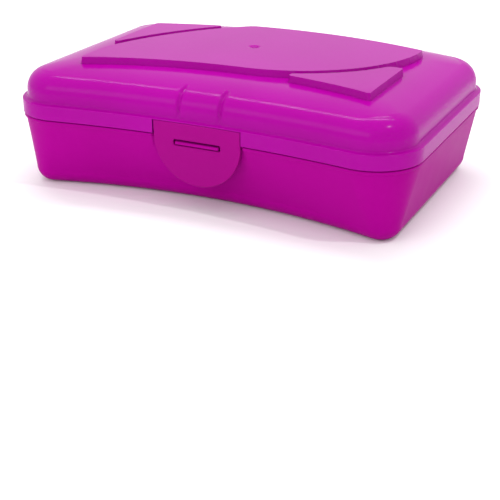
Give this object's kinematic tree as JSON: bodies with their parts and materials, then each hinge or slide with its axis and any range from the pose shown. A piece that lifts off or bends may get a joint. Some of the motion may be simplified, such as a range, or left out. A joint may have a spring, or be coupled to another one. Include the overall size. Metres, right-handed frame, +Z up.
{
  "type": "pencil case",
  "caption": "Snap-lid plastic pencil case with a curved plan, a domed stackable lid on a rear hinge and a flexing half-round front latch tongue.",
  "frame": {"origin": "on the surface that the case stands on, under the middle of its bounding box", "axes": "+Z up, +X along the length to the right as seen from the latch, +Y from the latch towards the hinge"},
  "size_m": [0.21, 0.1598, 0.0644],
  "materials": {
    "case_plastic": "satin translucent polypropylene",
    "pin_plastic": "satin"
  },
  "bodies": {
    "tray": {"base_tray": "case_plastic", "hinge_pin_left": "pin_plastic", "hinge_pin_right": "pin_plastic"},
    "lid": {"lid_shell": "case_plastic"},
    "latch": {"latch_tab": "case_plastic"}
  },
  "joints": [
    {"name": "lid_hinge", "type": "hinge", "parent": "tray", "child": "lid", "pos_m": [0, 0.07669, 0.0385], "axis": [-1, 0, 0], "range_deg": [0, 120]},
    {"name": "latch_flex", "type": "hinge", "parent": "lid", "child": "latch", "pos_m": [0, -0.07311, 0.0437], "axis": [-1, 0, 0], "range_deg": [0, 15], "stiffness_Nm_per_rad": 0.3}
  ]
}
